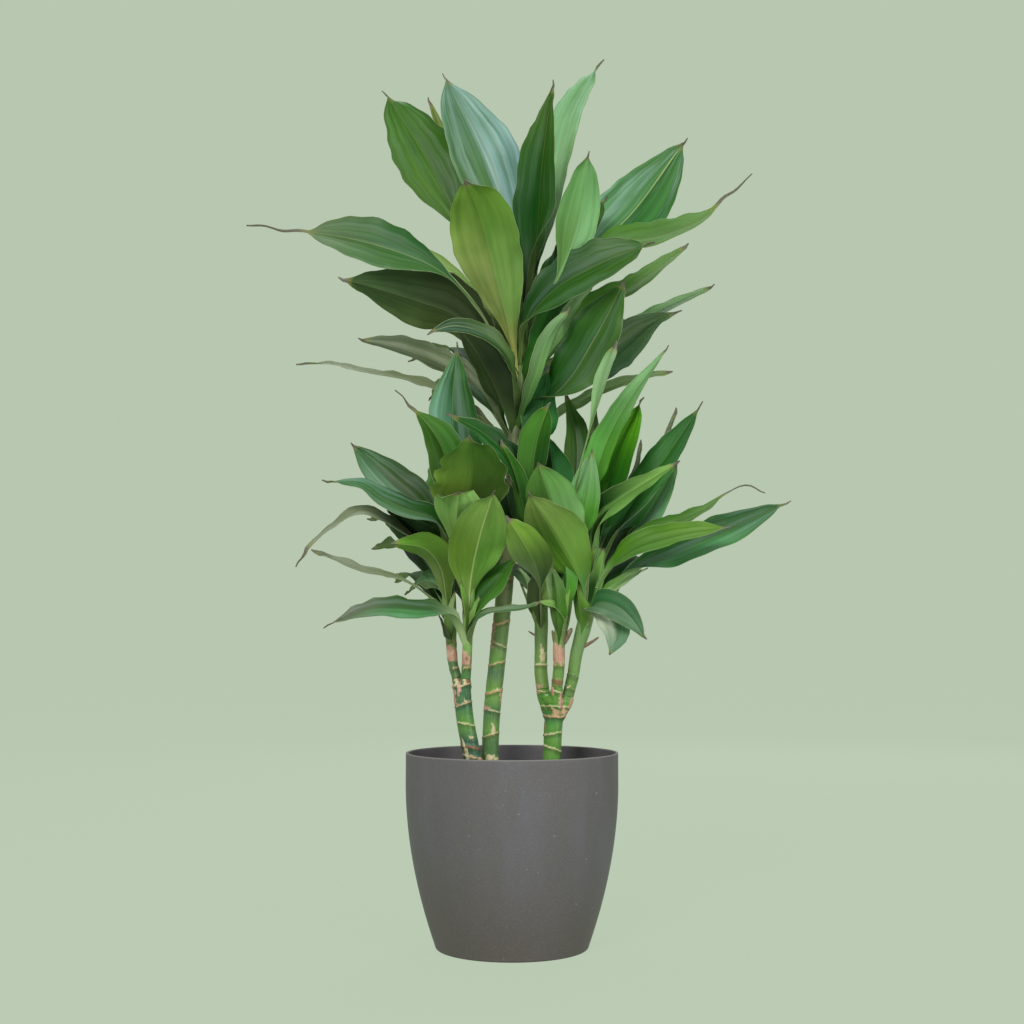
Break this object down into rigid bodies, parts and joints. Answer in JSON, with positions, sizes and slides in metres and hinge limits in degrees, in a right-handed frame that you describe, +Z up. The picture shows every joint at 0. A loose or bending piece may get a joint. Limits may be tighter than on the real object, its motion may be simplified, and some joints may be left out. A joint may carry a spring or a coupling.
{
  "type": "potted dracaena",
  "caption": "Upright house plant with bare canes, forked leafy shoots and long strap-shaped leaves, in soil in a plain round tapered pot.",
  "frame": {"origin": "centre of the pot's flat underside, where the plant stands", "axes": "+Z up along the pot's axis, -Y towards the front of the plant, +X to the right as seen from the front"},
  "size_m": [0.5436, 0.3385, 0.948],
  "materials": {
    "pot_plastic": "matte",
    "soil": "matte",
    "cane": "satin",
    "leaf": "satin"
  },
  "bodies": {
    "root": {"planter": "pot_plastic", "potting_soil": "soil", "cane_left": "cane", "cane_centre": "cane", "cane_right": "cane", "crown_tall": "leaf", "shoot_left_outer": "leaf", "shoot_left_inner": "leaf", "shoot_right_inner": "leaf", "shoot_right_middle": "leaf", "shoot_right_outer": "leaf"}
  },
  "joints": []
}
